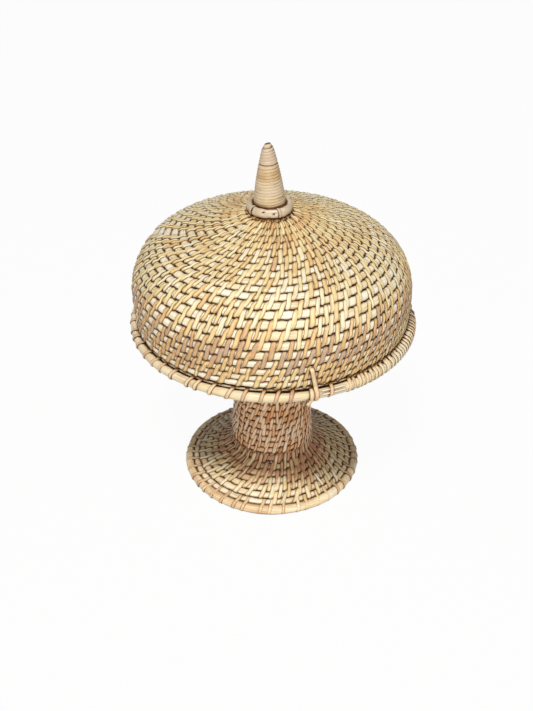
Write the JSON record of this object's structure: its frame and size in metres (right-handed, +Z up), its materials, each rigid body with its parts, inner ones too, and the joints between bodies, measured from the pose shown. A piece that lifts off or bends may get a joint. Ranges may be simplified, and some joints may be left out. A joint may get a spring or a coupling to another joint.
{
  "type": "pedestal basket",
  "caption": "Coiled rattan food basket on a waisted hollow foot, with a domed lid hinged to its rim by a strip tie and topped by a wound finial.",
  "frame": {"origin": "the floor under the middle of the foot", "axes": "+Z up the stem to the finial, -Y towards the tie that hinges the lid, +X along the hinge's axis"},
  "size_m": [0.281, 0.2822, 0.3621],
  "materials": {
    "cane_pole": "satin",
    "coil_foot": "matte",
    "coil_stem": "matte",
    "coil_tray": "matte",
    "rim_rod_cane": "satin",
    "binding_peel": "satin",
    "coil_lid": "matte",
    "tie_peel": "satin",
    "finial_wood": "matte",
    "finial_peel": "satin",
    "collar_fibre": "matte"
  },
  "bodies": {
    "pedestal": {"foot_hoop": "cane_pole", "foot_wall": "coil_foot", "stem_wall": "coil_stem", "tray_bowl": "coil_tray", "lid_seat_hoop": "coil_tray", "rim_hoop": "cane_pole", "rim_rod": "rim_rod_cane", "rim_binding_front": "binding_peel", "rim_binding_back": "binding_peel", "rim_binding_side": "binding_peel", "rim_splice_cane_lower": "cane_pole", "rim_splice_cane_upper": "cane_pole"},
    "lid": {"lid_wall": "coil_lid", "hinge_strap": "tie_peel", "finial_core": "finial_wood", "finial_winding_lower": "finial_peel", "finial_winding_upper": "finial_peel", "collar_ring": "collar_fibre", "collar_tie_front": "tie_peel", "collar_tie_left": "tie_peel", "collar_tie_back": "tie_peel", "finial_knot": "tie_peel"}
  },
  "joints": [
    {"name": "lid_hinge", "type": "hinge", "parent": "pedestal", "child": "lid", "pos_m": [0, -0.135, 0.18146], "axis": [1, 0, 0], "range_deg": [0, 110]}
  ]
}
